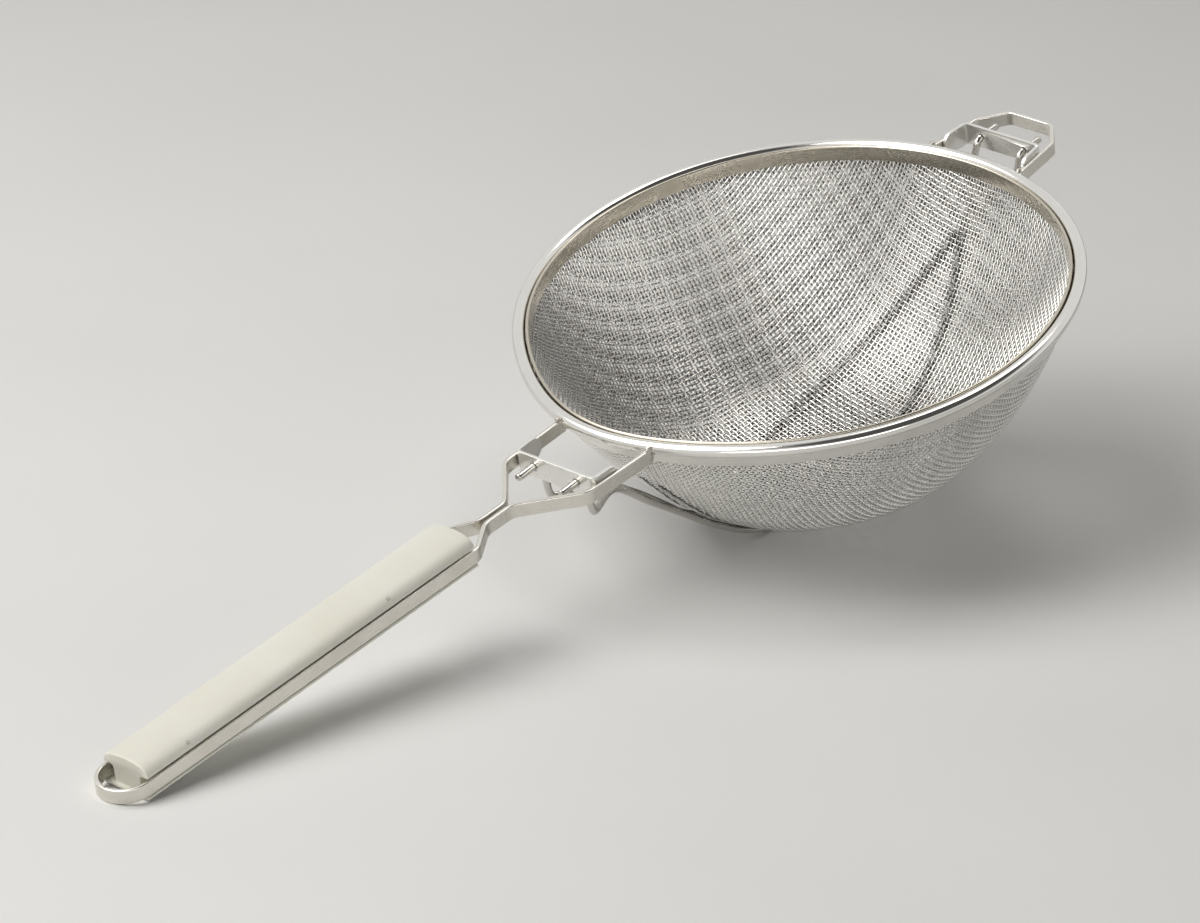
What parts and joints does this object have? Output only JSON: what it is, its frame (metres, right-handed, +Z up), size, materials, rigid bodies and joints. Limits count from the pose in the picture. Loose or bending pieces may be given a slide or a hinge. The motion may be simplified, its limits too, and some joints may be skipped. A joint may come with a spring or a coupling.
{
  "type": "double mesh strainer",
  "caption": "Round kitchen strainer with a two-layer wire cloth bowl in a rolled steel rim, a long strip handle with an ivory grip and hanging loop, a rear hook and guard wires under the bowl",
  "frame": {"origin": "on the table, under the middle of the strainer's bounding box as it lies at rest", "axes": "+X runs from the handle's loop towards the rear hook, +Y to the left of someone who looks along +X, +Z up; the rim is tilted up towards the rear"},
  "size_m": [0.5976, 0.26, 0.1485],
  "materials": {
    "wire_cloth": "woven bright steel wire in two layers",
    "polished_steel": "polished rolled sheet",
    "satin_steel": "satin strip and wire with bright edges",
    "ivory_plastic": "smooth moulded ivory plastic with a soft sheen"
  },
  "bodies": {
    "root": {"coarse_mesh_bowl": "wire_cloth", "fine_mesh_bowl": "wire_cloth", "rim_band": "polished_steel", "rim_inner_hoop": "satin_steel", "rim_core_wire": "satin_steel", "handle_strip": "satin_steel", "handle_grip": "ivory_plastic", "front_cross_plate": "satin_steel", "rear_hook_strip": "satin_steel", "rear_cross_plate": "satin_steel", "guard_wire_left": "satin_steel", "guard_wire_right": "satin_steel"}
  },
  "joints": []
}
